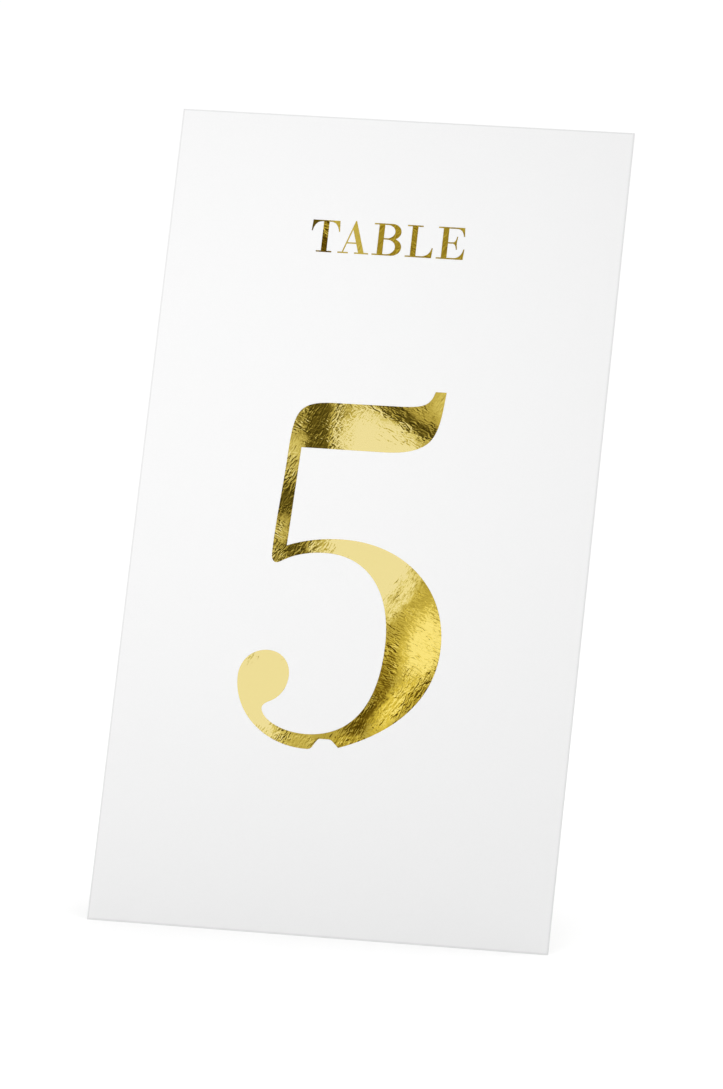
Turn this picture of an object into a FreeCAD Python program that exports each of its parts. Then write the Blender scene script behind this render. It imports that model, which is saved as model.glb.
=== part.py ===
import FreeCAD, Part
import os
from math import cos, radians, sin, tan

# A self-standing table number card: a thin white card, stamped with gold foil, that leans back on an easel strut.
#
# Every piece is first drawn in the card's own plane: x runs across the card from its left edge, y runs up it from
# its lower edge, and z is height above the card's middle plane, positive towards the reader. stand_up() then
# leans the card back about its lower edge. In the finished frame +Z is up, -Y is the side that is read, +X is the
# reader's right, and the origin is the middle of the card's lower edge, on the table. All lengths are in mm.

os.makedirs("parts", exist_ok=True)

# ---- driving dimensions ----
CARD_WIDTH = 100.0
CARD_HEIGHT = 180.0
CARD_THICKNESS = 0.5
LEAN_DEG = 20.0           # how far the card leans back from upright

STAMP_DEPTH = 0.04        # the foil is pressed this far into the card
FOIL_PROUD = 0.02         # and stands this far above its face

CAP_HEIGHT = 7.15         # capitals of the word
BASELINE = 149.6
STEM = 1.25               # thick strokes of the capitals
HAIRLINE = 0.3            # thin strokes of the capitals
SERIF = 1.1               # how far a serif stands out from its stem
BEAK_WIDTH = 0.24         # across the thin end of a beak

ADHESIVE_THICKNESS = 0.15
CLOTH_THICKNESS = 0.2     # hinge cloth on the card's side of both boards
BOARD_THICKNESS = 1.0     # greyboard of the pad and the leg
PAD_WIDTH = 40.0
PAD_HEIGHT = 30.0
PAD_CORNER = 6.0          # cut off the pad's two upper corners
HINGE_HEIGHT = 118.0      # up the card, the line that the leg turns about
CLOTH_ON_LEG = 16.0       # how far the cloth runs down the leg
LEG_OPEN_DEG = 38.0       # angle between the open leg and the card
LEG_TOP_WIDTH = 36.0
LEG_FOOT_WIDTH = 52.0
FOOT_ARCH_WIDTH = 28.0    # shallow arch between the leg's two feet
FOOT_ARCH_RISE = 2.0
STOP_GAP = 0.03           # between the leg's bevelled top edge and the pad that stops it
CLOTH_GAP = 0.05          # between the two runs of cloth, at the fold

# ---- worked out from them ----
FRONT = CARD_THICKNESS / 2
BACK = -CARD_THICKNESS / 2
FOIL_BACK = FRONT - STAMP_DEPTH
FOIL_THICKNESS = STAMP_DEPTH + FOIL_PROUD
CAP_LINE = BASELINE + CAP_HEIGHT
MIDDLE = CARD_WIDTH / 2
CLOTH_TOP = BACK - ADHESIVE_THICKNESS
BOARD_TOP = CLOTH_TOP - CLOTH_THICKNESS
BOARD_BACK = BOARD_TOP - BOARD_THICKNESS
LEAN_SLOPE = tan(radians(LEAN_DEG))
OPEN = radians(LEG_OPEN_DEG)
# The leg's card-side face runs from the hinge line to the table.
LEG_LENGTH = (HINGE_HEIGHT + BOARD_TOP * LEAN_SLOPE) / (cos(OPEN) + sin(OPEN) * LEAN_SLOPE)
SPARE = 10.0              # extra length that trimming to the table takes off again
BIG = 500.0


def point(x, y, z=0.0):
    return FreeCAD.Vector(x, y, z)


# ---- flat shapes in the card's plane ----
def outline(start, strokes):
    """Closed wire. A stroke is one end point for a line, or two handles and an end point for a curve."""
    edges = []
    here = start
    for stroke in strokes:
        end = stroke[-1]
        if len(stroke) == 1:
            edges.append(Part.LineSegment(point(*here), point(*end)).toShape())
        else:
            curve = Part.BezierCurve()
            curve.setPoles([point(*here)] + [point(*pole) for pole in stroke])
            edges.append(curve.toShape())
        here = end
    if here != start:
        edges.append(Part.LineSegment(point(*here), point(*start)).toShape())
    return Part.Wire(edges)


def plate(wire, low, high):
    """The wire's inside as a flat solid between two heights."""
    face = Part.Face(wire)
    face.translate(point(0, 0, low))
    return face.extrude(point(0, 0, high - low))


def polygon(*corners):
    return outline(corners[0], [(corner,) for corner in corners[1:]])


def rectangle(left, low, right, high):
    return polygon((left, low), (right, low), (right, high), (left, high))


def joined(solids):
    """Several solids fused into one, with no seams left between them."""
    return solids[0].multiFuse(solids[1:]).removeSplitter()


def foil(*wires):
    return joined([plate(wire, FOIL_BACK, FOIL_BACK + FOIL_THICKNESS) for wire in wires])


# ---- strokes that the capitals share ----
def stem(left):
    return rectangle(left, BASELINE, left + STEM, CAP_LINE)


def serif(left, right, line, side):
    """Hairline along a guide line, on the side of it where the letter lies: 1 above it, -1 below."""
    low, high = sorted((line, line + side * HAIRLINE))
    return rectangle(left, low, right, high)


def beak(tip, line, rise, reach):
    """Thin upright end of a hairline arm. It rises from the line at the tip, and a hollow curve runs back along
    the arm for the reach, which is positive for a beak at an arm's left end."""
    width = BEAK_WIDTH if reach > 0 else -BEAK_WIDTH
    splay = -width * 0.6
    top = line + rise
    curve = (
        (tip + splay + width + reach * 0.08, line + rise * 0.45),
        (tip + reach * 0.45, line + rise * 0.02),
        (tip + reach, line),
    )
    return outline((tip, line), [((tip + splay, top),), ((tip + splay + width, top),), curve])


def half_round(left, low, high, right):
    """A rectangle whose right end is rounded: the outside or the inside of a bowl."""
    centre = (low + high) / 2
    radius = (high - low) / 2
    handle = 0.55
    flat = right - 1.15 * radius
    bulge = right - flat
    return outline(
        (left, low),
        [
            ((flat, low),),
            ((flat + handle * bulge, low), (right, centre - handle * radius), (right, centre)),
            ((right, centre + handle * radius), (flat + handle * bulge, high), (flat, high)),
            ((left, high),),
        ],
    )


# ---- the six foil pieces ----
def letter_t():
    left = 31.72
    right = 37.72
    stem_left = 34.08
    under_bar = CAP_LINE - HAIRLINE
    return foil(
        serif(left, right, CAP_LINE, -1),
        beak(left, under_bar, -2.15, 2.0),
        beak(right, under_bar, -2.15, -2.0),
        stem(stem_left),
        serif(stem_left - SERIF, stem_left + STEM + SERIF, BASELINE, 1),
    )


def letter_a():
    apex = CAP_LINE + 0.2
    sides = polygon(
        (38.6, BASELINE),
        (41.15, apex),
        (41.35, apex),
        (43.67, BASELINE),
        (43.67 - STEM, BASELINE),
        (40.76, apex - 2.05),
        (38.9, BASELINE),
    )
    crossbar_low = BASELINE + 2.2
    return foil(
        sides,
        rectangle(39.5, crossbar_low, 41.9, crossbar_low + HAIRLINE),
        serif(37.75, 40.1, BASELINE, 1),
        serif(41.45, 44.6, BASELINE, 1),
    )


def letter_b():
    stem_left = 46.42
    waist_low = BASELINE + 3.57
    waist_high = waist_low + HAIRLINE
    stem_part = foil(
        stem(stem_left),
        serif(stem_left - SERIF, stem_left + STEM, BASELINE, 1),
        serif(stem_left - SERIF, stem_left + STEM, CAP_LINE, -1),
    )
    bowls = foil(
        half_round(stem_left, waist_low, CAP_LINE, 51.4),
        half_round(stem_left, BASELINE, waist_high, 51.68),
    )
    insides = foil(
        half_round(stem_left, waist_high, CAP_LINE - HAIRLINE, 50.05),
        half_round(stem_left, BASELINE + HAIRLINE, waist_low, 50.3),
    )
    return joined([bowls.cut(insides), stem_part])


def letter_l():
    stem_left = 53.75
    tip = 58.5
    return foil(
        stem(stem_left),
        serif(stem_left - SERIF, stem_left + STEM + SERIF, CAP_LINE, -1),
        serif(stem_left - SERIF, tip, BASELINE, 1),
        beak(tip, BASELINE + HAIRLINE, 1.95, -2.3),
    )


def letter_e():
    stem_left = 60.6
    top_tip = 65.3
    bottom_tip = 65.45
    middle_tip = 63.8
    middle_low = BASELINE + 3.5
    middle_high = middle_low + HAIRLINE
    return foil(
        stem(stem_left),
        serif(stem_left - SERIF, top_tip, CAP_LINE, -1),
        beak(top_tip, CAP_LINE - HAIRLINE, -1.7, -1.6),
        serif(stem_left - SERIF, bottom_tip, BASELINE, 1),
        beak(bottom_tip, BASELINE + HAIRLINE, 2.05, -2.1),
        rectangle(stem_left, middle_low, middle_tip, middle_high),
        beak(middle_tip, middle_high, 1.3, -0.9),
        beak(middle_tip, middle_low, -1.3, -0.9),
    )


def numeral_5():
    """Drawn clockwise from the upper left corner of the flag. Each curve starts and ends where the outline is
    level or upright, or at a corner. The lower edge of the bowl has a small flat-topped notch."""
    strokes = [
        # flag, right-hand end of the top bar, and the bar's lower edge
        ((65.2, 120.0),),
        ((64.8, 115.4), (64.7, 111.0), (62.4, 108.6)),
        ((60.5, 106.8), (57.4, 106.0), (53.0, 106.0)),
        ((34.8, 106.0),),
        # right side of the stem, and the outside of the bowl
        ((34.05, 84.2),),
        ((37.6, 85.6), (41.8, 86.3), (46.0, 86.3)),
        ((59.8, 86.3), (70.0, 77.0), (70.0, 64.0)),
        ((70.0, 52.9), (62.2, 45.0), (50.2, 40.9)),
        # notch
        ((48.7, 42.3),),
        ((48.4, 42.5), (48.2, 42.6), (47.8, 42.6)),
        ((46.2, 42.6),),
        ((45.6, 42.6), (45.4, 42.2), (45.0, 41.6)),
        ((44.5, 40.7), (44.3, 40.2), (43.4, 40.2)),
        # tail and its ball
        ((34.0, 40.2), (26.6, 47.0), (26.6, 55.0)),
        ((26.6, 58.6), (29.2, 61.1), (32.6, 61.1)),
        ((35.5, 61.1), (37.75, 58.9), (37.75, 55.8)),
        ((37.75, 53.2), (36.4, 51.0), (34.2, 50.0)),
        ((32.3, 49.2), (32.3, 48.3), (33.2, 47.0)),
        ((34.6, 45.1), (38.4, 43.4), (42.8, 43.4)),
        # inside of the bowl, and the rounded foot of the stem
        ((52.8, 43.4), (57.9, 50.8), (57.9, 64.0)),
        ((57.9, 75.2), (52.4, 83.1), (42.6, 83.1)),
        ((39.2, 83.1), (36.0, 82.4), (33.3, 80.8)),
        ((31.8, 79.8), (31.0, 80.6), (31.0, 82.6)),
        # left side of the stem, the rounded shoulder, and the bar's upper edge
        ((31.0, 90.0), (31.8, 97.0), (32.0, 104.6)),
        ((32.3, 114.4), (33.2, 116.2), (41.5, 116.2)),
        ((56.0, 116.3),),
        ((61.0, 116.4), (62.0, 117.2), (62.8, 120.0)),
    ]
    return foil(outline((62.8, 120.0), strokes))


# ---- card ----
def card_sheet(foils):
    """The card, with a shallow impression under each foil piece. Its foot runs on past the table line, which
    trims it level when the card is stood up."""
    blank = plate(rectangle(0, -SPARE, CARD_WIDTH, CARD_HEIGHT), BACK, FRONT)
    return blank.cut(foils)


# ---- easel ----
def pad_outline():
    left = MIDDLE - PAD_WIDTH / 2
    right = MIDDLE + PAD_WIDTH / 2
    top = HINGE_HEIGHT + PAD_HEIGHT
    return polygon(
        (left, HINGE_HEIGHT),
        (right, HINGE_HEIGHT),
        (right, top - PAD_CORNER),
        (right - PAD_CORNER, top),
        (left + PAD_CORNER, top),
        (left, top - PAD_CORNER),
    )


def open_leg(shape):
    """Turns a shape from flat against the card to the leg's open angle, about the hinge line."""
    shape.rotate(point(MIDDLE, HINGE_HEIGHT, BOARD_TOP), point(1, 0, 0), LEG_OPEN_DEG)
    return shape


def leg_half_width(down):
    """Half the leg's width at a distance down from the hinge line."""
    return (LEG_TOP_WIDTH + (LEG_FOOT_WIDTH - LEG_TOP_WIDTH) * down / LEG_LENGTH) / 2


def leg_strip(start, end, low, high):
    """The leg's tapered outline between two distances down from the hinge line, as a plate, already open."""
    top = leg_half_width(start)
    foot = leg_half_width(end)
    wire = polygon(
        (MIDDLE - foot, HINGE_HEIGHT - end),
        (MIDDLE + foot, HINGE_HEIGHT - end),
        (MIDDLE + top, HINGE_HEIGHT - start),
        (MIDDLE - top, HINGE_HEIGHT - start),
    )
    return open_leg(plate(wire, low, high))


def foot_arch():
    """The arch that is cut from the leg's lower edge, from table height upwards, already open."""
    foot = HINGE_HEIGHT - LEG_LENGTH
    half = FOOT_ARCH_WIDTH / 2
    arc = Part.Arc(
        point(MIDDLE - half, foot),
        point(MIDDLE, foot + FOOT_ARCH_RISE),
        point(MIDDLE + half, foot),
    ).toShape()
    corners = [
        point(MIDDLE + half, foot),
        point(MIDDLE + half, foot - 2 * SPARE),
        point(MIDDLE - half, foot - 2 * SPARE),
        point(MIDDLE - half, foot),
    ]
    sides = [Part.LineSegment(a, b).toShape() for a, b in zip(corners, corners[1:])]
    cutter = plate(Part.Wire([arc] + sides), BOARD_BACK - 1, BOARD_TOP + 1)
    return open_leg(cutter)


def strut_leg():
    """Board leg. Its top edge is bevelled to meet the pad's lower edge when it is open, which is its stop."""
    board = leg_strip(0, LEG_LENGTH + SPARE, BOARD_BACK, BOARD_TOP)
    stop_line = HINGE_HEIGHT - STOP_GAP
    above_stop = Part.makeBox(BIG, BIG, BIG, point(MIDDLE - BIG / 2, stop_line, BOARD_TOP - BIG / 2))
    return board.cut(above_stop).cut(foot_arch())


# ---- standing it up ----
def stand_up(shape):
    """Leans the shape back about the card's lower edge, and trims it where it would go into the table."""
    shape.translate(point(-MIDDLE, 0, 0))
    shape.rotate(point(0, 0, 0), point(1, 0, 0), 90 - LEAN_DEG)
    table = Part.makeBox(BIG, BIG, BIG, point(-BIG / 2, -BIG / 2, -BIG))
    return shape.cut(table)


foils = {
    "foil_letter_t": letter_t(),
    "foil_letter_a": letter_a(),
    "foil_letter_b": letter_b(),
    "foil_letter_l": letter_l(),
    "foil_letter_e": letter_e(),
    "foil_numeral_5": numeral_5(),
}
pieces = {
    "card_sheet": card_sheet(list(foils.values())),
    **foils,
    "adhesive_pad": plate(pad_outline(), CLOTH_TOP, BACK),
    "hinge_cloth_upper": plate(pad_outline(), BOARD_TOP, CLOTH_TOP),
    "hinge_cloth_lower": leg_strip(CLOTH_GAP, CLOTH_ON_LEG, BOARD_TOP, CLOTH_TOP),
    "mounting_pad": plate(pad_outline(), BOARD_BACK, BOARD_TOP),
    "strut_leg": strut_leg(),
}

for node, shape in pieces.items():
    standing = stand_up(shape)
    solids = standing.Solids
    assert standing.isValid() and len(solids) == 1, node
    solids[0].exportStep("parts/" + node + ".step")
    box = solids[0].BoundBox
    print(node, [round(v, 3) for v in (box.XMin, box.YMin, box.ZMin, box.XMax, box.YMax, box.ZMax)])

# The hinge line in the finished frame, for the joint.
hinge_y = HINGE_HEIGHT * sin(radians(LEAN_DEG)) - BOARD_TOP * cos(radians(LEAN_DEG))
hinge_z = HINGE_HEIGHT * cos(radians(LEAN_DEG)) + BOARD_TOP * sin(radians(LEAN_DEG))
print("hinge line at y", round(hinge_y, 3), "z", round(hinge_z, 3), "leg length", round(LEG_LENGTH, 2))
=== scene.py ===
"""Looks of the table number card: the white sheet, its gold foil, and the board easel behind it."""
import math

import bmesh
import bpy
from mathutils import Matrix, Vector, noise


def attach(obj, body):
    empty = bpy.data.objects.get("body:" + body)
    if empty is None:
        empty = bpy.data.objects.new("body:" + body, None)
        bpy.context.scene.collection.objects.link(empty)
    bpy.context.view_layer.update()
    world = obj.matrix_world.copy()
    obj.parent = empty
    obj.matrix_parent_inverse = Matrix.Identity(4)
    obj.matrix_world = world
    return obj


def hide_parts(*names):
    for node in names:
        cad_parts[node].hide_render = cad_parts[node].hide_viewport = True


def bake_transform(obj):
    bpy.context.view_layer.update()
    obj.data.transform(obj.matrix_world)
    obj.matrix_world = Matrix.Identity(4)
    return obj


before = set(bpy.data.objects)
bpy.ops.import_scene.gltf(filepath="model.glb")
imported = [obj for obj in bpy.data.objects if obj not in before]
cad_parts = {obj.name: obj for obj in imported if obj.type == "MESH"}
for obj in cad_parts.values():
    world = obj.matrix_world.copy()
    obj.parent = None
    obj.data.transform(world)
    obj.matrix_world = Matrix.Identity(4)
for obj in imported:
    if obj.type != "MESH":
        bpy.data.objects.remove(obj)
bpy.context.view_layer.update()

MM = 0.001
LEAN = math.radians(20.0)              # the card leans back this far from upright
CARD_WIDTH = 100 * MM
CARD_HEIGHT = 180 * MM
CARD_FRONT = 0.25 * MM                 # the card's face above its middle plane
LEG_OPEN = math.radians(38.0)          # the board leg stands out from the card by this much

# The card's own plane: x across it from its middle, y up it from its lower edge, z towards the reader.
TO_WORLD = Matrix.Rotation(math.pi / 2 - LEAN, 4, "X")
TO_CARD = TO_WORLD.inverted()


# ---------------------------------------------------------------- camera and stage
CAMERA_LENS = 240.0
CAMERA_DISTANCE = 1.5543
CAMERA_AZIMUTH = math.radians(12.0)
CAMERA_ELEVATION = math.radians(7.41)
CAMERA_ROLL = math.radians(2.25)
CAMERA_TARGET = Vector((0.32 * MM, 85.48 * MM, CARD_FRONT))    # in the card's plane

CARD_MIDDLE = Vector((0, CARD_HEIGHT / 2, CARD_FRONT))
ROOM_RADIANCE = 0.54
SOFTBOX_RADIANCE = 0.47
SOFTBOX_DISTANCE = 1.0
SOFTBOX_SIZE = 0.9
SUN_STRENGTH = 1.85
SUN_PLACE = (0.12, 0.42, 1.15)
SUN_ANGLE = math.radians(50)
KEY_PLACE = (-0.55, -0.75, 0.55)
KEY_AIM = Vector((-48 * MM, 124 * MM, CARD_FRONT))
KEY_CONE = math.radians(18.0)
KEY_POWER = 9.0
KEY_RADIUS = 0.08
FLOOR_HALF_WIDTH = 15.0


def make_camera():
    back = Vector((
        math.sin(CAMERA_AZIMUTH) * math.cos(CAMERA_ELEVATION),
        -math.cos(CAMERA_AZIMUTH) * math.cos(CAMERA_ELEVATION),
        math.sin(CAMERA_ELEVATION),
    ))
    level = Vector((0, 0, 1)).cross(back).normalized()
    up = back.cross(level)
    right = level * math.cos(CAMERA_ROLL) + up * math.sin(CAMERA_ROLL)
    up = back.cross(right)
    place = Matrix((right, up, back)).transposed().to_4x4()
    place.translation = TO_WORLD @ CAMERA_TARGET + back * CAMERA_DISTANCE
    data = bpy.data.cameras.new("camera")
    data.lens = CAMERA_LENS
    data.sensor_width = 36
    data.clip_start = 0.05
    data.clip_end = 40
    camera = bpy.data.objects.new("camera", data)
    camera.matrix_world = place
    bpy.context.scene.collection.objects.link(camera)
    bpy.context.scene.camera = camera


def light(name, kind, place, aim, power):
    data = bpy.data.lights.new(name, kind)
    data.energy = power
    lamp = bpy.data.objects.new(name, data)
    lamp.location = place
    lamp.rotation_euler = (Vector(aim) - Vector(place)).to_track_quat("-Z", "Y").to_euler()
    bpy.context.scene.collection.objects.link(lamp)
    return lamp


def make_stage(material):
    half = FLOOR_HALF_WIDTH
    mesh = bpy.data.meshes.new("floor")
    corners = [(-half, -half, 0), (half, -half, 0), (half, half, 0), (-half, half, 0)]
    mesh.from_pydata(corners, [], [(0, 1, 2, 3)])
    mesh.materials.append(material)
    floor = bpy.data.objects.new("floor", mesh)
    bpy.context.scene.collection.objects.link(floor)


def softbox_direction():
    """Where the card's face mirrors the camera's view to, from the middle of the card."""
    normal = (TO_WORLD @ Vector((0, 0, 1))).normalized()
    middle = TO_WORLD @ CARD_MIDDLE
    away = (bpy.context.scene.camera.matrix_world.translation - middle).normalized()
    return 2 * away.dot(normal) * normal - away


def make_light():
    middle = TO_WORLD @ CARD_MIDDLE
    box_place = middle + softbox_direction() * SOFTBOX_DISTANCE
    box_power = SOFTBOX_RADIANCE * math.pi * SOFTBOX_SIZE ** 2
    softbox = light("softbox", "AREA", box_place, middle, box_power).data
    softbox.shape = "SQUARE"
    softbox.size = SOFTBOX_SIZE
    sun = light("overhead", "SUN", SUN_PLACE, (0, 0, 0), SUN_STRENGTH).data
    sun.angle = SUN_ANGLE
    key = light("key", "SPOT", KEY_PLACE, TO_WORLD @ KEY_AIM, KEY_POWER)
    key.visible_glossy = False
    key.data.spot_size = KEY_CONE
    key.data.spot_blend = 1.0
    key.data.shadow_soft_size = KEY_RADIUS
    world = bpy.data.worlds.new("studio")
    world.use_nodes = True
    nodes = world.node_tree.nodes
    seen = nodes.new("ShaderNodeBackground")
    seen.inputs["Color"].default_value = (1, 1, 1, 1)
    seen.inputs["Strength"].default_value = 1.0
    around = nodes["Background"]
    around.inputs["Color"].default_value = (1, 1, 1, 1)
    around.inputs["Strength"].default_value = ROOM_RADIANCE
    path = nodes.new("ShaderNodeLightPath")
    mix = nodes.new("ShaderNodeMixShader")
    links = world.node_tree.links
    links.new(path.outputs["Is Camera Ray"], mix.inputs[0])
    links.new(around.outputs[0], mix.inputs[1])
    links.new(seen.outputs[0], mix.inputs[2])
    links.new(mix.outputs[0], nodes["World Output"].inputs["Surface"])
    bpy.context.scene.world = world
    bpy.context.scene.view_settings.view_transform = "Standard"


# ---------------------------------------------------------------- material building
def linear(red, green, blue):
    """A colour given as 0 to 255 on screen, as the shader's linear numbers."""
    shown = (red, green, blue)
    return [((c / 255 + 0.055) / 1.055) ** 2.4 if c > 10 else c / 255 / 12.92 for c in shown] + [1.0]


class Shader:
    """A material, or a node group, and short calls that add its nodes."""

    def __init__(self, tree):
        self.tree = tree

    def node(self, kind, **settings):
        made = self.tree.nodes.new(kind)
        for name, value in settings.items():
            setattr(made, name, value)
        return made

    def plug(self, socket, value):
        if isinstance(value, bpy.types.NodeSocket):
            self.tree.links.new(value, socket)
        elif value is not None:
            socket.default_value = value

    def maths(self, operation, a, b=None, clamp=False):
        made = self.node("ShaderNodeMath", operation=operation, use_clamp=clamp)
        self.plug(made.inputs[0], a)
        self.plug(made.inputs[1], b)
        return made.outputs[0]

    def vector(self, operation, a, b=None):
        made = self.node("ShaderNodeVectorMath", operation=operation)
        self.plug(made.inputs[0], a)
        self.plug(made.inputs[1], b)
        return made.outputs["Value" if operation in ("LENGTH", "DOT_PRODUCT") else "Vector"]

    def stretched(self, vector, turn, along, across):
        """The point measured along and across a direction in the card's plane, each in its own unit."""
        made = self.node("ShaderNodeMapping", vector_type="TEXTURE")
        self.plug(made.inputs["Vector"], vector)
        made.inputs["Rotation"].default_value = (0, 0, math.radians(turn))
        made.inputs["Scale"].default_value = (along, across, 1)
        return made.outputs[0]

    def mapping(self, vector, location=(0, 0, 0), rotation=(0, 0, 0), scale=(1, 1, 1)):
        made = self.node("ShaderNodeMapping")
        self.plug(made.inputs["Vector"], vector)
        made.inputs["Location"].default_value = location
        made.inputs["Rotation"].default_value = rotation
        made.inputs["Scale"].default_value = scale
        return made.outputs[0]

    def noise(self, vector, scale, detail=3.0, roughness=0.5, distortion=0.0):
        made = self.node("ShaderNodeTexNoise")
        self.plug(made.inputs["Vector"], vector)
        made.inputs["Scale"].default_value = scale
        made.inputs["Detail"].default_value = detail
        made.inputs["Roughness"].default_value = roughness
        made.inputs["Distortion"].default_value = distortion
        return made

    def ramp(self, factor, stops):
        made = self.node("ShaderNodeValToRGB")
        self.plug(made.inputs[0], factor)
        elements = made.color_ramp.elements
        while len(elements) < len(stops):
            elements.new(0.5)
        for element, (position, colour) in zip(elements, stops):
            element.position = position
            element.color = colour
        return made.outputs[0]

    def remap(self, value, low, high, to_low=0.0, to_high=1.0):
        made = self.node("ShaderNodeMapRange", interpolation_type="SMOOTHSTEP")
        self.plug(made.inputs["Value"], value)
        made.inputs["From Min"].default_value = low
        made.inputs["From Max"].default_value = high
        made.inputs["To Min"].default_value = to_low
        made.inputs["To Max"].default_value = to_high
        return made.outputs[0]

    def blend(self, factor, a, b, kind="RGBA"):
        made = self.node("ShaderNodeMix", data_type=kind)
        self.plug(made.inputs["Factor"], factor)
        sockets = [s for s in made.inputs if s.name in ("A", "B") and s.enabled]
        self.plug(sockets[0], a)
        self.plug(sockets[1], b)
        return [s for s in made.outputs if s.enabled][0]

    def bump(self, height, strength, distance):
        made = self.node("ShaderNodeBump")
        self.plug(made.inputs["Height"], height)
        made.inputs["Strength"].default_value = strength
        made.inputs["Distance"].default_value = distance
        return made.outputs[0]

    def card_point(self):
        """Position in the card's plane, in mm: x from the card's left edge, y up from its lower edge."""
        where = self.node("ShaderNodeTexCoord").outputs["Object"]
        turn = (-(math.pi / 2 - LEAN), 0, 0)
        return self.mapping(where, (CARD_WIDTH / 2 / MM, 0, 0), turn, (1 / MM, 1 / MM, 1 / MM))


def material(name):
    """A new material with an empty Principled surface, as (material, shader, surface node)."""
    made = bpy.data.materials.new(name)
    made.use_nodes = True
    return made, Shader(made.node_tree), made.node_tree.nodes["Principled BSDF"]


# ---------------------------------------------------------------- gold foil
# Painted reflections: patches of the foil painted lighter or darker in its colour, standing in for the
# light and dark that crinkled foil mirrors where it lies at slightly different angles. Their tones are set
# here and don't follow the view.
# Each is an oval, in mm from the card's lower left corner:
# (centre x, y), (half width, half height), turn in degrees,
# softness, raggedness, grain, tone, richness, crinkle.
# Tone is the painted reflection, from 0, dark brown, to 1, palest. Richness is 0 for straw gold and 1 for
# deep yellow gold.
# Raggedness is how far the wrinkles carry the edge in and out; crinkle is how much they show inside as
# painted light and dark.
# The grain is the way that the wrinkles run: "level" or "steep".
NUMERAL_PAINTED_REFLECTIONS = [
    # top bar
    ((33.4, 110.6), (3.6, 8.0), 0, 0.3, 0.3, "level", 0.42, 0.0, 0.6),
    ((38.3, 111.0), (2.7, 14.0), 3, 0.2, 0.5, "steep", 0.12, 0.0, 0.35),
    ((42.7, 110.6), (2.4, 14.0), 3, 0.25, 0.9, "steep", 0.56, 0.0, 1.4),
    ((52.6, 113.4), (12.6, 2.2), -21, 0.3, 0.6, "level", 0.66, 0.0, 0.9),
    ((52.6, 106.0), (9.4, 6.6), -20, 0.2, 0.6, "level", 1.0, 0.0, 0.0),
    ((47.6, 110.0), (3.4, 4.8), 0, 0.3, 0.8, "steep", 1.0, 0.0, 0.0),
    ((58.0, 113.4), (8.6, 1.8), -28, 0.4, 0.8, "level", 0.14, 0.0, 0.6),
    ((60.8, 115.6), (3.2, 2.2), -20, 0.4, 0.5, "level", 0.5, 0.3, 0.3),
    ((65.2, 117.4), (3.0, 4.4), 0, 0.4, 0.3, "steep", 0.7, 0.2, 0.15),
    # stem
    ((32.8, 104.8), (2.6, 4.4), 0, 0.4, 0.6, "steep", 0.74, 0.0, 0.3),
    ((33.4, 100.4), (2.2, 2.6), 0, 0.4, 0.6, "steep", 0.56, 0.0, 0.7),
    ((33.0, 94.2), (2.8, 4.6), 0, 0.4, 0.8, "steep", 0.14, 0.0, 0.4),
    ((32.2, 87.4), (2.2, 3.4), 0, 0.4, 0.6, "level", 0.6, 0.0, 0.6),
    ((32.2, 82.0), (2.4, 2.6), 0, 0.4, 0.6, "steep", 0.42, 0.0, 0.9),
    # thin upper arm, and the top of the bowl
    ((36.2, 83.4), (2.8, 2.6), 0, 0.3, 0.6, "steep", 0.17, 0.0, 0.5),
    ((40.4, 84.4), (2.0, 3.0), 0, 0.4, 0.7, "steep", 0.6, 0.0, 1.3),
    ((51.6, 84.0), (9.4, 4.6), 0, 0.1, 0.35, "steep", 1.0, 0.0, 0.0),
    ((55.2, 78.0), (14.0, 5.6), 60, 0.15, 0.3, "steep", 1.0, 0.0, 0.0),
    # right side of the bowl
    ((63.8, 72.0), (8.0, 3.8), 62, 0.3, 0.4, "level", 0.57, 0.6, 0.3),
    ((60.4, 74.6), (8.4, 1.7), 60, 0.5, 1.1, "steep", 1.0, 0.2, 0.5),
    ((60.2, 61.6), (3.6, 6.2), 0, 0.4, 0.6, "level", 0.57, 0.8, 0.55),
    ((66.6, 63.8), (4.1, 8.3), -8, 0.25, 0.8, "level", 1.0, 0.9, 0.15),
    ((58.4, 55.4), (2.1, 7.4), -6, 0.4, 0.7, "level", 0.32, 0.9, 0.3),
    ((55.8, 47.8), (2.0, 6.8), -44, 0.4, 0.8, "steep", 0.14, 0.8, 0.3),
    ((61.4, 50.8), (2.7, 7.4), -34, 0.3, 0.6, "steep", 0.82, 1.0, 0.5),
    ((66.2, 53.0), (1.6, 4.6), -32, 0.5, 1.0, "steep", 0.42, 1.0, 0.8),
    # foot of the bowl, tail and ball
    ((51.6, 42.4), (3.6, 1.8), 0, 0.4, 0.4, "steep", 0.55, 0.8, 0.6),
    ((41.2, 41.8), (4.8, 2.2), 0, 0.3, 0.4, "steep", 0.64, 0.25, 0.4),
    ((36.0, 42.8), (2.6, 2.0), 0, 0.4, 0.8, "steep", 0.74, 0.2, 1.3),
    ((30.5, 49.5), (7.4, 4.6), -56, 0.1, 0.3, "steep", 1.0, 0.0, 0.0),
    ((32.0, 56.0), (7.6, 7.6), 0, 0.1, 0.2, "steep", 1.0, 0.0, 0.0),
    ((28.8, 59.6), (0.5, 0.4), 45, 0.5, 4.0, "steep", 0.7, 0.0, 0.2),
]
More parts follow.
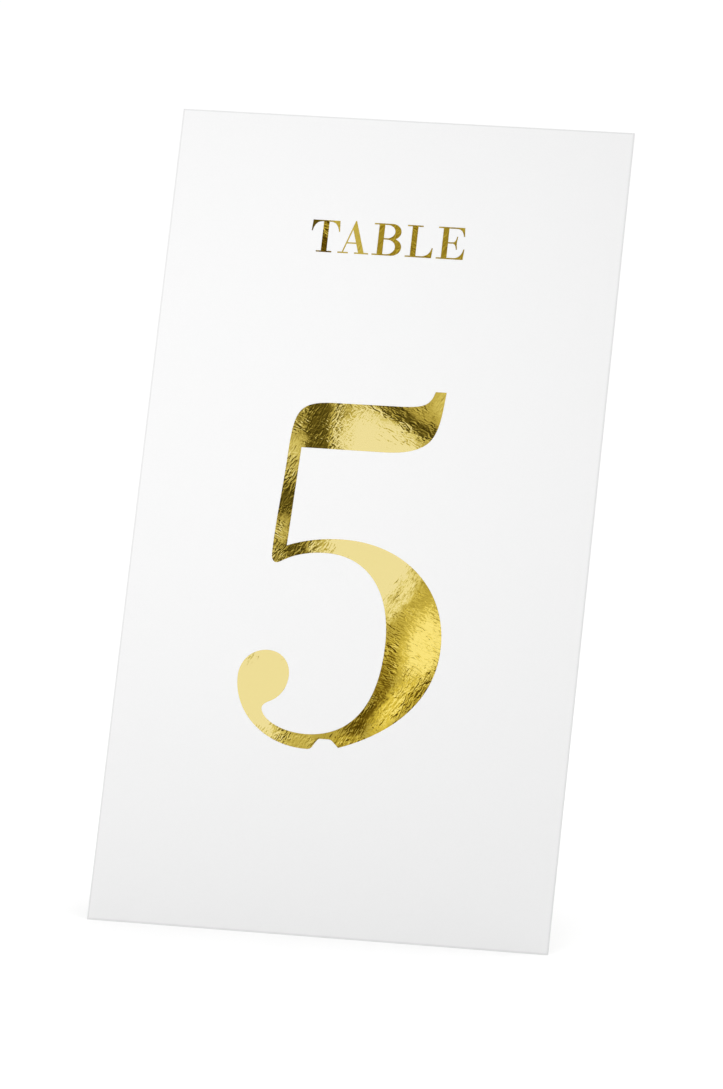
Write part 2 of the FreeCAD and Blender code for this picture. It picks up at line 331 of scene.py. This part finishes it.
WORD_PAINTED_REFLECTIONS = [
    ((32.3, 155.4), (1.6, 2.4), 0, 0.4, 0.1, "steep", 0.12, 0.3, 0.1),
    ((34.7, 155.0), (1.0, 2.6), 0, 0.4, 0.4, "level", 0.36, 0.9, 0.9),
    ((34.7, 151.0), (1.8, 3.2), 0, 0.4, 0.4, "level", 0.08, 0.9, 0.3),
    ((37.0, 155.6), (1.4, 2.0), 0, 0.4, 0.1, "steep", 0.58, 0.3, 0.1),
    ((41.4, 153.2), (3.6, 4.8), 0, 0.2, 0.1, "steep", 0.62, 0.3, 0.1),
    ((48.6, 153.2), (3.5, 4.8), 0, 0.2, 0.1, "steep", 0.42, 0.9, 0.15),
    ((55.8, 153.2), (3.4, 4.8), 0, 0.2, 0.1, "level", 0.38, 0.9, 0.2),
    ((62.8, 153.2), (3.5, 4.8), 0, 0.2, 0.1, "steep", 0.4, 0.8, 0.15),
]
GRAIN_TURN = {"level": -20, "steep": 66}    # degrees
WRINKLE_LENGTH = 1.6                        # mm
WRINKLE_WIDTH = 0.62                        # mm
WRINKLE_GAIN = 5.0                          # brings the wrinkles' slope to about -1 to 1
BARE_TONE = 0.55
BARE_RICHNESS = 0.3
# Gold colours picked by the painted reflection tone: dark brown where a dark reflection is painted, up to
# the palest gold.
STRAW_GOLD = [
    (0.0, linear(66, 54, 10)),
    (0.2, linear(108, 91, 26)),
    (0.4, linear(152, 132, 52)),
    (0.6, linear(190, 168, 76)),
    (0.8, linear(216, 197, 104)),
    (1.0, linear(239, 222, 152)),
]
DEEP_GOLD = [
    (0.0, linear(72, 52, 2)),
    (0.2, linear(112, 86, 12)),
    (0.4, linear(156, 130, 34)),
    (0.6, linear(196, 170, 54)),
    (0.8, linear(226, 197, 68)),
    (1.0, linear(252, 229, 122)),
]


def painted_reflection_group():
    """Node group: lays one oval patch of painted reflection over what earlier patches gave."""
    tree = bpy.data.node_groups.new("foil_painted_reflection", "ShaderNodeTree")
    for name in ("Point", "Centre", "Reach"):
        tree.interface.new_socket(name, in_out="INPUT", socket_type="NodeSocketVector")
    shape = ("Turn", "Inner", "Outer", "Slope", "Ragged", "Crinkle")
    for name in (*shape, "Tone", "Rich", "Tone before", "Rich before"):
        tree.interface.new_socket(name, in_out="INPUT", socket_type="NodeSocketFloat")
    for name in ("Tone", "Rich"):
        tree.interface.new_socket(name, in_out="OUTPUT", socket_type="NodeSocketFloat")
    shader = Shader(tree)
    given = shader.node("NodeGroupInput").outputs
    offset = shader.vector("SUBTRACT", given["Point"], given["Centre"])
    turned = shader.node("ShaderNodeVectorRotate", rotation_type="Z_AXIS")
    shader.plug(turned.inputs["Vector"], offset)
    shader.plug(turned.inputs["Angle"], given["Turn"])
    distance = shader.vector("LENGTH", shader.vector("MULTIPLY", turned.outputs[0], given["Reach"]))
    distance = shader.maths("ADD", distance, shader.maths("MULTIPLY", given["Slope"], given["Ragged"]))
    edge = shader.node("ShaderNodeMapRange", interpolation_type="SMOOTHSTEP")
    shader.plug(edge.inputs["Value"], distance)
    shader.plug(edge.inputs["From Min"], given["Inner"])
    shader.plug(edge.inputs["From Max"], given["Outer"])
    edge.inputs["To Min"].default_value = 1.0
    edge.inputs["To Max"].default_value = 0.0
    # The wrinkles' slope is painted into the tone as small light and dark reflections.
    tone = shader.maths("ADD", given["Tone"], shader.maths("MULTIPLY", given["Slope"], given["Crinkle"]))
    cover = edge.outputs[0]
    after = shader.node("NodeGroupOutput").inputs
    shader.plug(after["Tone"], shader.blend(cover, given["Tone before"], tone, "FLOAT"))
    shader.plug(after["Rich"], shader.blend(cover, given["Rich before"], given["Rich"], "FLOAT"))
    return tree


def wrinkle_slope(shader, where, turn):
    """How steeply small wrinkles that run at this turn tip the foil, as a number from about -1 to 1."""
    calm = shader.noise(shader.vector("ADD", where, (turn, 0, 0)), 0.4, 2.0)
    gain = shader.remap(calm.outputs["Fac"], 0.35, 0.65, 0.5 * WRINKLE_GAIN, 1.4 * WRINKLE_GAIN)
    point = shader.stretched(where, turn, WRINKLE_LENGTH, WRINKLE_WIDTH)
    beside = shader.vector("ADD", point, (0.1, 0.25, 0))
    heights = [shader.noise(spot, 1.0, 2.5, 0.55, 0.9).outputs["Fac"] for spot in (point, beside)]
    return shader.maths("MULTIPLY", shader.maths("SUBTRACT", *heights), gain)


def gold_foil(name, patches, group):
    """Foil whose colour comes from the painted reflection patches, laid one over another in their order.
    """
    made, shader, surface = material(name)
    where = shader.card_point()
    slopes = {grain: wrinkle_slope(shader, where, turn) for grain, turn in GRAIN_TURN.items()}
    drift = shader.noise(where, 0.45, 3.0, 0.5)
    pushed = shader.vector("SUBTRACT", drift.outputs["Color"], (0.5, 0.5, 0.5))
    point = shader.vector("ADD", where, shader.vector("MULTIPLY", pushed, (3.0, 3.0, 0)))
    tone_now = BARE_TONE
    rich_now = BARE_RICHNESS
    for centre, half, turn, soft, ragged, grain, tone, rich, crinkle in patches:
        laid = shader.node("ShaderNodeGroup", node_tree=group)
        settings = {
            "Point": point, "Centre": (*centre, 0), "Reach": (1 / half[0], 1 / half[1], 0),
            "Turn": -math.radians(turn), "Inner": 1 - soft, "Outer": 1 + soft,
            "Slope": slopes[grain], "Ragged": ragged, "Crinkle": crinkle,
            "Tone": tone, "Rich": rich, "Tone before": tone_now, "Rich before": rich_now,
        }
        for name, value in settings.items():
            shader.plug(laid.inputs[name], value)
        tone_now = laid.outputs["Tone"]
        rich_now = laid.outputs["Rich"]
    tone = shader.maths("MAXIMUM", shader.maths("MINIMUM", tone_now, 1.0), 0.0)
    # The painted reflection tone picks the foil's colour from the two gold ramps.
    colour = shader.blend(rich_now, shader.ramp(tone, STRAW_GOLD), shader.ramp(tone, DEEP_GOLD))
    shader.plug(surface.inputs["Base Color"], colour)
    surface.inputs["Metallic"].default_value = 1.0
    shader.plug(surface.inputs["Roughness"], shader.remap(tone, 0.0, 1.0, 0.34, 0.24))
    shader.plug(surface.inputs["Normal"], shader.bump(tone, 0.06, 0.02 * MM))
    return made


# ---------------------------------------------------------------- paper, board and cloth
HALF_SHEET = Vector((CARD_WIDTH / 2, CARD_HEIGHT / 2, 0)) / MM     # mm
GREY_EDGE_MARGIN = 0.45                                                  # mm, a band along the edges made a little greyer


def white_card():
    made, shader, surface = material("white_card")
    where = shader.card_point()
    fibres = shader.noise(where, 3.0, 5.0, 0.6)
    tint = shader.ramp(fibres.outputs["Fac"], [(0.3, linear(245, 245, 245)), (0.7, linear(247, 247, 247))])
    # The outermost part of the face is made a little grey, darker towards the edges.
    from_middle = shader.vector("ABSOLUTE", shader.vector("SUBTRACT", where, tuple(HALF_SHEET)))
    parts = shader.node("ShaderNodeSeparateXYZ")
    shader.plug(parts.inputs[0], from_middle)
    starts = HALF_SHEET - Vector((1, 1, 0)) * GREY_EDGE_MARGIN
    stops = HALF_SHEET - Vector((1, 1, 0)) * GREY_EDGE_MARGIN / 3
    sides = shader.remap(parts.outputs[0], starts.x, stops.x)
    ends = shader.remap(parts.outputs[1], starts.y, stops.y)
    tint = shader.blend(shader.maths("MAXIMUM", sides, ends), tint, linear(232, 232, 232))
    shader.plug(surface.inputs["Base Color"], tint)
    surface.inputs["Roughness"].default_value = 0.8
    surface.inputs["Specular IOR Level"].default_value = 0.3
    shader.plug(surface.inputs["Normal"], shader.bump(fibres.outputs["Fac"], 0.25, 0.02 * MM))
    return made


def greyboard(name, turn):
    """Grey pulp board whose sheets lie in a plane turned this far about the X axis from the card's."""
    made, shader, surface = material(name)
    where = shader.mapping(shader.card_point(), rotation=(-turn, 0, 0))
    pulp = shader.noise(where, 3.5, 5.0, 0.75)
    sheets = shader.noise(shader.mapping(where, scale=(0.25, 0.25, 9.0)), 1.0, 3.0, 0.6)
    specks = shader.noise(shader.mapping(where, scale=(1.0, 2.6, 4.0)), 2.2, 2.0, 0.5, 0.6)
    mixed = shader.blend(0.4, pulp.outputs["Fac"], sheets.outputs["Fac"], "FLOAT")
    tint = shader.ramp(
        mixed,
        [(0.3, linear(142, 138, 130)), (0.5, linear(164, 160, 151)), (0.7, linear(184, 181, 173))],
    )
    dark = shader.remap(specks.outputs["Fac"], 0.63, 0.68)
    pale = shader.remap(specks.outputs["Fac"], 0.36, 0.31)
    tint = shader.blend(dark, tint, linear(92, 86, 80))
    tint = shader.blend(pale, tint, linear(214, 210, 200))
    shader.plug(surface.inputs["Base Color"], tint)
    rough = shader.remap(pulp.outputs["Fac"], 0.3, 0.7, 0.98, 0.88)
    shader.plug(surface.inputs["Roughness"], rough)
    shader.plug(surface.inputs["Normal"], shader.bump(mixed, 0.6, 0.06 * MM))
    return made


def hinge_cloth_finish():
    """Bookbinder's cloth: its yarns are read from the piece's own flat layout, so they follow the fold."""
    made, shader, surface = material("hinge_cloth")
    layout = shader.mapping(
        shader.node("ShaderNodeTexCoord").outputs["UV"],
        scale=(CLOTH_LAYOUT_UNIT / MM, CLOTH_LAYOUT_UNIT / MM, 1),
    )
    parts = shader.node("ShaderNodeSeparateXYZ")
    shader.plug(parts.inputs[0], layout)
    turns = [shader.maths("MULTIPLY", way, math.pi / (YARN_PITCH / MM)) for way in parts.outputs[:2]]
    yarns = shader.maths("MULTIPLY", *[shader.maths("COSINE", turn) for turn in turns])
    slubs = shader.noise(shader.mapping(layout, scale=(0.3, 2.0, 1)), 1.0, 3.0, 0.6)
    fuzz = shader.noise(layout, 9.0, 3.0, 0.6)
    shade = shader.maths("ADD", slubs.outputs["Fac"], shader.maths("MULTIPLY", yarns, 0.12))
    tint = shader.ramp(
        shade,
        [(0.25, linear(196, 191, 180)), (0.5, linear(224, 220, 211)), (0.75, linear(240, 238, 232))],
    )
    shader.plug(surface.inputs["Base Color"], tint)
    shader.plug(surface.inputs["Roughness"], shader.remap(fuzz.outputs["Fac"], 0.3, 0.7, 0.95, 0.82))
    surface.inputs["Sheen Weight"].default_value = 0.15
    shader.plug(surface.inputs["Normal"], shader.bump(fuzz.outputs["Fac"], 0.4, 0.02 * MM))
    return made


def adhesive_finish():
    made, shader, surface = material("adhesive")
    where = shader.card_point()
    cloud = shader.noise(where, 0.5)
    tint = shader.ramp(cloud.outputs["Fac"], [(0.3, linear(232, 229, 216)), (0.7, linear(240, 238, 228))])
    shader.plug(surface.inputs["Base Color"], tint)
    surface.inputs["Roughness"].default_value = 0.4
    return made


def floor_finish():
    made, shader, surface = material("floor")
    where = shader.node("ShaderNodeTexCoord").outputs["Object"]
    cloud = shader.noise(where, 1.0)
    tint = shader.ramp(cloud.outputs["Fac"], [(0.3, linear(248, 248, 248)), (0.7, linear(250, 250, 250))])
    shader.plug(surface.inputs["Base Color"], tint)
    surface.inputs["Roughness"].default_value = 0.9
    surface.inputs["Specular IOR Level"].default_value = 0.1
    return made


# ---------------------------------------------------------------- foil pieces
CRINKLE_HEIGHT = 0.006 * MM
NUMERAL_CELL = 0.35 * MM
WORD_CELL = 0.12 * MM
CUTTER_STRETCH = 40                    # the outline is made this much deeper to cut right through the slab


def new_object(name, mesh):
    made = bpy.data.objects.new(name, mesh)
    bpy.context.scene.collection.objects.link(made)
    return made


def applied(obj, name):
    """The object's mesh with its modifiers applied, as a new mesh."""
    bpy.context.view_layer.update()
    graph = bpy.context.evaluated_depsgraph_get()
    mesh = bpy.data.meshes.new_from_object(obj.evaluated_get(graph))
    mesh.name = name
    return mesh


def gridded_slab(low, high, cell):
    """A closed slab whose top is a grid of square cells; its sides and bottom are single faces."""
    across = max(1, math.ceil((high.x - low.x) / cell))
    along = max(1, math.ceil((high.y - low.y) / cell))
    points = [
        (low.x + i * cell, low.y + j * cell, high.z)
        for j in range(along + 1)
        for i in range(across + 1)
    ]

    def at(i, j):
        return j * (across + 1) + i

    faces = [
        (at(i, j), at(i + 1, j), at(i + 1, j + 1), at(i, j + 1))
        for j in range(along)
        for i in range(across)
    ]
    first = len(points)
    right = low.x + across * cell
    top = low.y + along * cell
    points += [(low.x, low.y, low.z), (right, low.y, low.z), (right, top, low.z), (low.x, top, low.z)]
    south = [at(i, 0) for i in range(across, -1, -1)]
    east = [at(across, j) for j in range(along, -1, -1)]
    north = [at(i, along) for i in range(across + 1)]
    west = [at(0, j) for j in range(along + 1)]
    faces.append([*south, first, first + 1])
    faces.append([*east, first + 1, first + 2])
    faces.append([*north, first + 2, first + 3])
    faces.append([*west, first + 3, first])
    faces.append((first + 3, first + 2, first + 1, first))
    mesh = bpy.data.meshes.new("slab")
    mesh.from_pydata(points, [], faces)
    return mesh


def foil_piece(node, cell, finish):
    """The foil node remade with a fine grid on its face, which carries the crinkles."""
    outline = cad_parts[node].data.copy()
    outline.transform(TO_CARD)
    low = Vector([min(v.co[k] for v in outline.vertices) for k in range(3)])
    high = Vector([max(v.co[k] for v in outline.vertices) for k in range(3)])
    middle = (low.z + high.z) / 2
    for vertex in outline.vertices:
        vertex.co.z = middle + (vertex.co.z - middle) * CUTTER_STRETCH
    joiner = bmesh.new()
    joiner.from_mesh(outline)
    bmesh.ops.remove_doubles(joiner, verts=joiner.verts, dist=1e-7)
    bmesh.ops.recalc_face_normals(joiner, faces=joiner.faces)
    joiner.to_mesh(outline)
    joiner.free()
    cutter = new_object("cutter", outline)
    margin = Vector((cell / 2, cell / 2, 0))
    slab = new_object("slab", gridded_slab(low - margin, high + margin, cell))
    cut = slab.modifiers.new("outline", "BOOLEAN")
    cut.operation = "INTERSECT"
    cut.solver = "EXACT"
    cut.object = cutter
    mesh = applied(slab, node)
    bpy.data.objects.remove(cutter)
    bpy.data.objects.remove(slab)
    shape_foil(mesh, high.z)
    mesh.materials.clear()
    mesh.materials.append(finish)
    mesh.transform(TO_WORLD)
    piece = new_object(node + "_foil", mesh)
    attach(piece, "card")
    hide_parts(node)
    return piece


def shape_foil(mesh, top):
    """Crinkles the face, and shades it as one smooth surface with crisp sides."""
    work = bmesh.new()
    work.from_mesh(mesh)
    for vertex in work.verts:
        if vertex.co.z > top - 0.001 * MM:
            spot = Vector((vertex.co.x / MM * 0.9, vertex.co.y / MM * 1.6, 0))
            vertex.co.z += CRINKLE_HEIGHT * noise.fractal(spot, 1.0, 2.0, 4)
    for face in work.faces:
        face.smooth = face.normal.z > 0.5
    for edge in work.edges:
        edge.smooth = all(face.smooth for face in edge.link_faces)
    work.to_mesh(mesh)
    work.free()


def card_span(node):
    """A node's lowest and highest corners, measured in the card's plane."""
    corners = [TO_CARD @ vertex.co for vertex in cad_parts[node].data.vertices]
    return [Vector([pick(corner[k] for corner in corners) for k in range(3)]) for pick in (min, max)]


# ---------------------------------------------------------------- hinge cloth
CLOTH_THICKNESS = 0.18 * MM
CLOTH_LAYOUT_UNIT = 50 * MM            # one unit of the cloth's flat layout
CLOTH_CELL = 0.25 * MM
YARN_PITCH = 0.8 * MM
YARN_RELIEF = 0.01 * MM
CLOTH_ON_LEG = 16 * MM
CORNER_CUT = 6 * MM                    # off the two upper corners
FOLD_REACH = 0.3 * MM                  # the fold is this long on each side of the hinge line
LEG_LENGTH = 116.37 * MM               # from the hinge line to the foot
LEG_FLARE = 8 * MM                     # the foot's half width less the top's
LEG_TAPER = LEG_FLARE / LEG_LENGTH     # how fast the leg's half width grows down its length


def down_leg(angle):
    """Two directions where the cloth has turned this far from the card's plane: down it, and out of it."""
    along = Vector((0, -math.cos(angle), -math.sin(angle)))
    out = Vector((0, -math.sin(angle), math.cos(angle)))
    return along, out


def cloth_half_width(down, on_pad, on_leg, above):
    """Half the cloth's width at a distance down from the hinge line, which is less than 0 on the pad."""
    from_top = down + above
    if from_top < CORNER_CUT:
        return on_pad - CORNER_CUT + from_top
    if down < 0:
        step = max(0.0, 1 + down / (2 * FOLD_REACH))
        return on_pad + (on_leg - on_pad) * step
    return on_leg + LEG_TAPER * down


def hinge_cloth(finish):
    """One strip of woven cloth from the top of the pad, round the fold, and down the leg."""
    low, high = card_span("hinge_cloth_upper")
    hinge = Vector((0, low.y, low.z))
    above = high.y - low.y
    on_leg = card_span("strut_leg")[1].x - LEG_FLARE
    rows = round((above + CLOTH_ON_LEG) / CLOTH_CELL)
    columns = round(2 * high.x / CLOTH_CELL)
    points = []
    layout = []
    for side in (1, -1):
        for row in range(rows + 1):
            down = row * CLOTH_CELL - above
            half = cloth_half_width(down, high.x, on_leg, above)
            blend = min(1.0, max(0.0, 0.5 + down / (2 * FOLD_REACH)))
            along = down_leg(LEG_OPEN if down > 0 else 0.0)[0]
            out = down_leg(LEG_OPEN * blend)[1]
            for column in range(columns + 1):
                across = half * (2 * column / columns - 1)
                yarn = math.cos(math.pi * across / YARN_PITCH) * math.cos(math.pi * down / YARN_PITCH)
                lift = (high.z - low.z) / 2 + side * CLOTH_THICKNESS / 2
                lift += YARN_RELIEF * yarn - side * YARN_RELIEF
                points.append(hinge + Vector((across, 0, 0)) + along * down + out * lift)
                layout.append((across / CLOTH_LAYOUT_UNIT, down / CLOTH_LAYOUT_UNIT))

    def at(side, row, column):
        return (side * (rows + 1) + row) * (columns + 1) + column

    faces = []
    for row in range(rows):
        for column in range(columns):
            ring = [(row, column), (row + 1, column), (row + 1, column + 1), (row, column + 1)]
            faces.append([at(0, *spot) for spot in ring])
            faces.append([at(1, *spot) for spot in reversed(ring)])
    rim = [(0, column) for column in range(columns)] + [(row, columns) for row in range(rows)]
    rim += [(rows, column) for column in range(columns, 0, -1)] + [(row, 0) for row in range(rows, 0, -1)]
    for here, following in zip(rim, rim[1:] + rim[:1]):
        faces.append([at(0, *here), at(0, *following), at(1, *following), at(1, *here)])
    mesh = bpy.data.meshes.new("hinge_cloth")
    mesh.from_pydata([TO_WORLD @ spot for spot in points], [], faces)
    mesh.shade_smooth()
    flat = mesh.uv_layers.new(name="flat_layout")
    for loop in mesh.loops:
        flat.data[loop.index].uv = layout[loop.vertex_index]
    mesh.materials.append(finish)
    piece = new_object("hinge_cloth", mesh)
    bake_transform(piece)
    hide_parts("hinge_cloth_upper", "hinge_cloth_lower")


# ---------------------------------------------------------------- pieces that keep their CAD shape
def finish_cad(node, finish, rounding):
    """Gives a CAD node its material, and rounds its sharp edges a little."""
    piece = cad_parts[node]
    piece.data.materials.clear()
    piece.data.materials.append(finish)
    bevel = piece.modifiers.new("worn_edges", "BEVEL")
    bevel.width = rounding
    bevel.segments = 2
    bevel.limit_method = "ANGLE"
    bevel.angle_limit = math.radians(35)


make_camera()
make_stage(floor_finish())
make_light()

patch = painted_reflection_group()
foil_piece("foil_numeral_5", NUMERAL_CELL, gold_foil("gold_foil_numeral", NUMERAL_PAINTED_REFLECTIONS, patch))
word_foil = gold_foil("gold_foil_word", WORD_PAINTED_REFLECTIONS, patch)
for letter in "table":
    foil_piece("foil_letter_" + letter, WORD_CELL, word_foil)
finish_cad("card_sheet", white_card(), 0.02 * MM)
finish_cad("mounting_pad", greyboard("greyboard_pad", 0.0), 0.1 * MM)
finish_cad("strut_leg", greyboard("greyboard_leg", LEG_OPEN), 0.1 * MM)
finish_cad("adhesive_pad", adhesive_finish(), 0.03 * MM)
hinge_cloth(hinge_cloth_finish())
